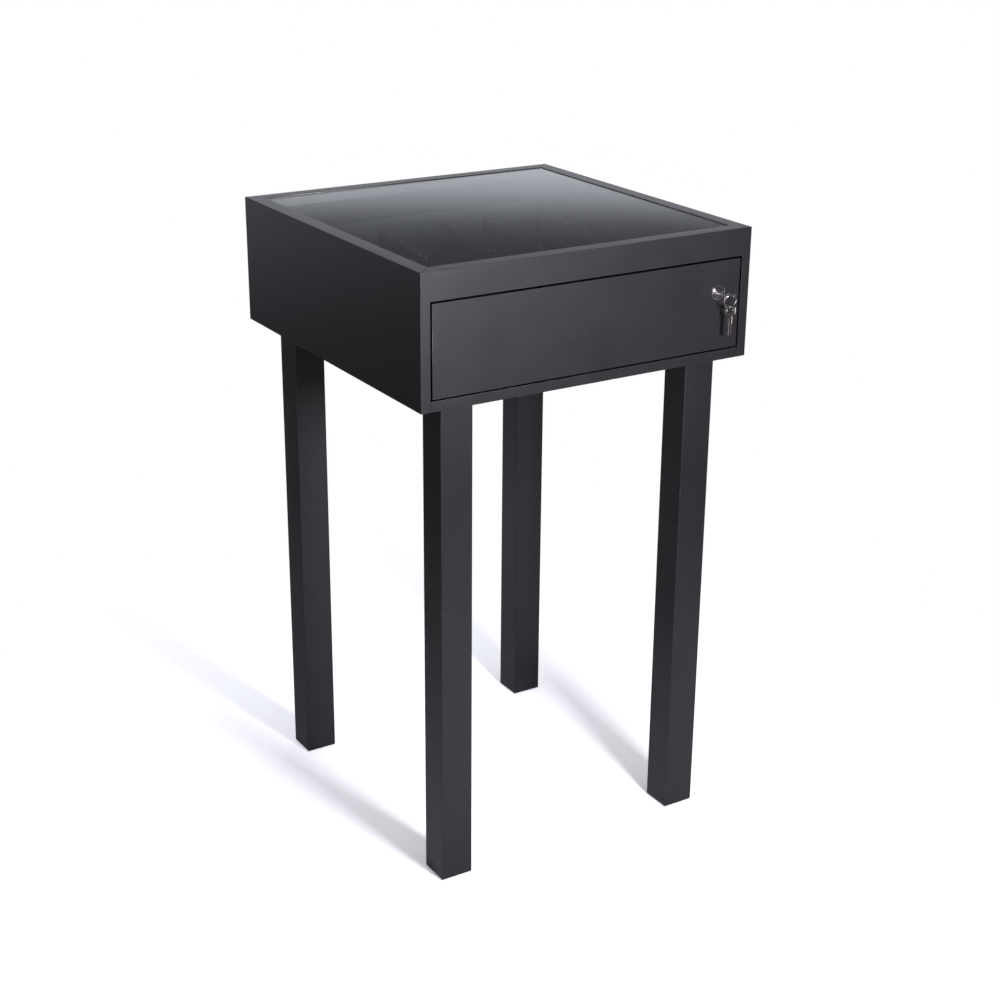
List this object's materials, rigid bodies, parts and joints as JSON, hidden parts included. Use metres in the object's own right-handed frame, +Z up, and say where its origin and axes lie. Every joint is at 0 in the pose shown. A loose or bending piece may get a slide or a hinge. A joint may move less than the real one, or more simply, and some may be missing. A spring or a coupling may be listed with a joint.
{
  "type": "display table",
  "caption": "Square glass-topped display table on straight legs, with a key-locked display drawer that slides out under the fixed glass.",
  "frame": {"origin": "on the floor, under the middle of the whole table, key included", "axes": "+Z up, -Y out of the drawer front, +X to the right seen from the drawer front"},
  "size_m": [0.54, 0.569, 0.93],
  "materials": {
    "satin_black": "satin black lacquer",
    "drawer_black": "matt black lacquer",
    "liner": "black felt",
    "glass": "clear float glass",
    "tape": "black foam tape",
    "glide": "moulded nylon",
    "zinc": "bright zinc plate",
    "chrome": "polished chrome",
    "nickel": "nickel-plated key blank"
  },
  "bodies": {
    "case": {"left_side_panel": "satin_black", "right_side_panel": "satin_black", "back_panel": "satin_black", "bottom_panel": "satin_black", "top_frame_front": "satin_black", "top_frame_right": "satin_black", "top_frame_back": "satin_black", "top_frame_left": "satin_black", "glass_pane": "glass", "glazing_tape": "tape", "lock_strike": "zinc", "strike_screw_left": "zinc", "strike_screw_right": "zinc", "leg_front_left": "satin_black", "glide_front_left": "glide", "leg_bolt_front_left_a": "zinc", "leg_bolt_front_left_b": "zinc", "leg_front_right": "satin_black", "glide_front_right": "glide", "leg_bolt_front_right_a": "zinc", "leg_bolt_front_right_b": "zinc", "leg_back_left": "satin_black", "glide_back_left": "glide", "leg_bolt_back_left_a": "zinc", "leg_bolt_back_left_b": "zinc", "leg_back_right": "satin_black", "glide_back_right": "glide", "leg_bolt_back_right_a": "zinc", "leg_bolt_back_right_b": "zinc", "left_slide_case_member": "zinc", "right_slide_case_member": "zinc"},
    "slide_middles": {"left_slide_middle_member": "zinc", "right_slide_middle_member": "zinc"},
    "drawer": {"drawer_front": "satin_black", "drawer_left_side": "drawer_black", "drawer_right_side": "drawer_black", "drawer_back": "drawer_black", "drawer_bottom": "drawer_black", "drawer_liner": "liner", "left_slide_drawer_member": "zinc", "right_slide_drawer_member": "zinc", "lock_body": "chrome", "lock_nut": "zinc", "left_rack_cheek_left": "drawer_black", "left_rack_cheek_right": "drawer_black", "left_rack_spacer_front": "drawer_black", "left_rack_spacer_back": "drawer_black", "right_rack_cheek_left": "drawer_black", "right_rack_cheek_right": "drawer_black", "right_rack_spacer_front": "drawer_black", "right_rack_spacer_back": "drawer_black"},
    "lock_core": {"lock_plug": "chrome", "lock_cam": "zinc", "cam_screw": "zinc"},
    "lock_key": {"key": "nickel"},
    "ring": {"key_ring": "chrome"},
    "hanging_key": {"spare_key": "nickel"}
  },
  "joints": [
    {"name": "drawer_slide", "type": "slide", "parent": "case", "child": "drawer", "axis": [0, -1, 0], "range_m": [0, 0.46]},
    {"name": "slide_middle_travel", "type": "slide", "parent": "case", "child": "slide_middles", "axis": [0, -1, 0], "range_m": [0, 0.23]},
    {"name": "lock_turn", "type": "hinge", "parent": "drawer", "child": "lock_core", "pos_m": [0.215, -0.2555, 0.841], "axis": [0, 1, 0], "range_deg": [0, 90]},
    {"name": "key_withdraw", "type": "slide", "parent": "lock_core", "child": "lock_key", "axis": [0, -1, 0], "range_m": [0, 0.025]},
    {"name": "ring_hang", "type": "hinge", "parent": "lock_key", "child": "ring", "pos_m": [0.2214, -0.2765, 0.841], "axis": [0, 1, 0], "range_deg": [-90, 0]},
    {"name": "spare_key_swing", "type": "hinge", "parent": "ring", "child": "hanging_key", "pos_m": [0.2214, -0.2765, 0.82266], "axis": [1, 0, 0], "range_deg": [-60, 15]}
  ],
  "couplings": [
    {"joint": "slide_middle_travel", "follows": "drawer_slide", "ratio": 0.5},
    {"joint": "ring_hang", "follows": "lock_turn", "ratio": -1}
  ]
}
